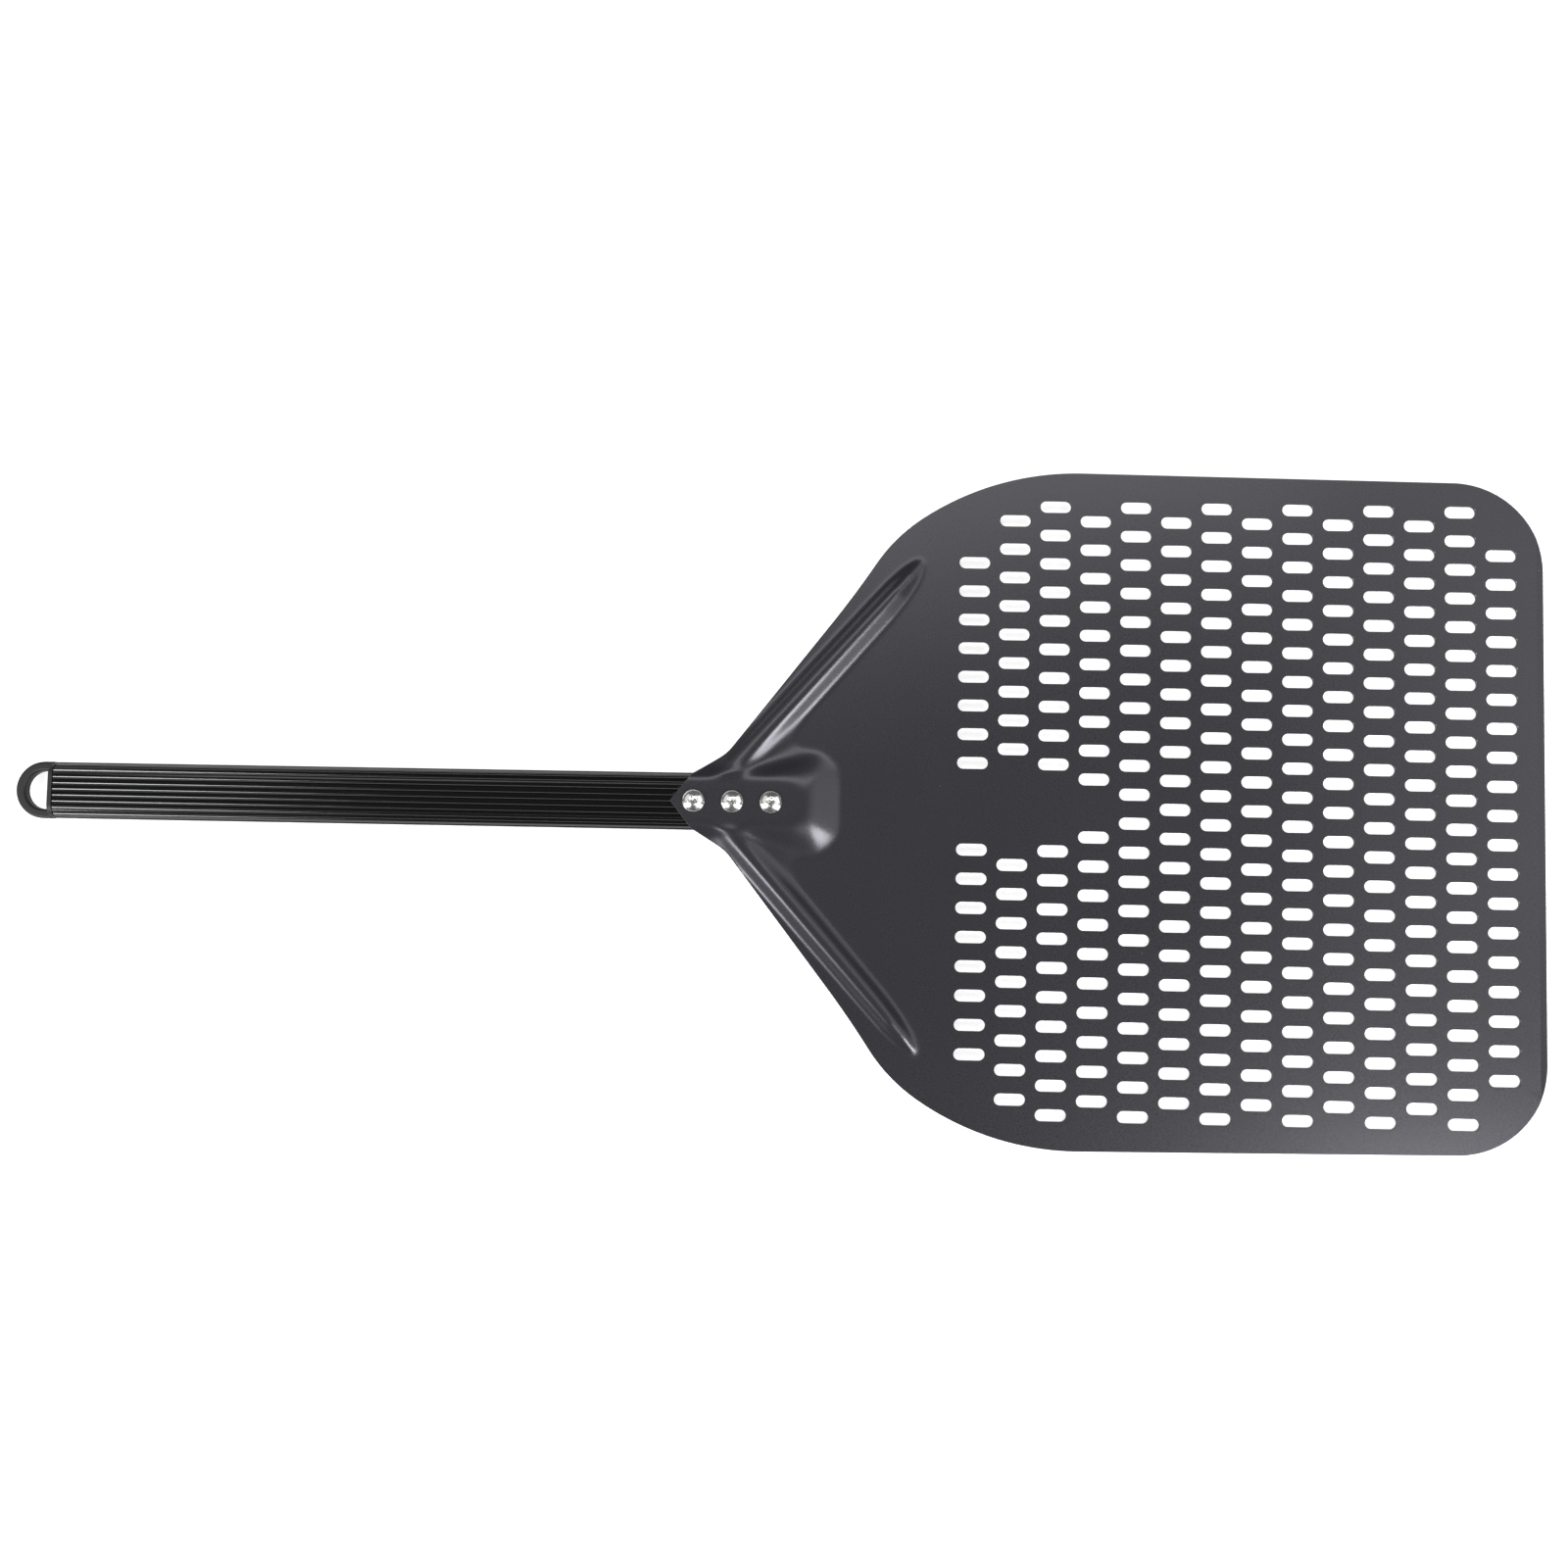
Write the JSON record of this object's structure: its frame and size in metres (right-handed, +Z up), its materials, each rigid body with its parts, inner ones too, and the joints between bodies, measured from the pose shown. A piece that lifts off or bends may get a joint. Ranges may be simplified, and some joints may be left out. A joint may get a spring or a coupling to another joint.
{
  "type": "pizza peel",
  "caption": "Perforated pizza peel: pressed dark-anodised blade with hood and ribs, screwed to a fluted oval tube handle with a D-shaped hanging loop.",
  "frame": {"origin": "middle of the footprint, on the surface the peel lies on", "axes": "+X from the hanging loop to the blade's front edge, along the tube's axis; +Z up, out of the face that carries the pizza; the peel is symmetric about the plane Y = 0"},
  "size_m": [0.8105, 0.3554, 0.0203],
  "materials": {
    "anodised_blade": "satin dark hard-anodised sheet",
    "black_tube": "black anodised extrusion",
    "cap_plastic": "fine moulded texture",
    "screw_steel": "bright stainless",
    "insert_steel": "zinc plated"
  },
  "bodies": {
    "root": {"blade": "anodised_blade", "handle_tube": "black_tube", "end_cap": "cap_plastic", "front_plug": "cap_plastic", "screw_rear": "screw_steel", "screw_middle": "screw_steel", "screw_front": "screw_steel", "insert_rear": "insert_steel", "insert_middle": "insert_steel", "insert_front": "insert_steel"}
  },
  "joints": []
}
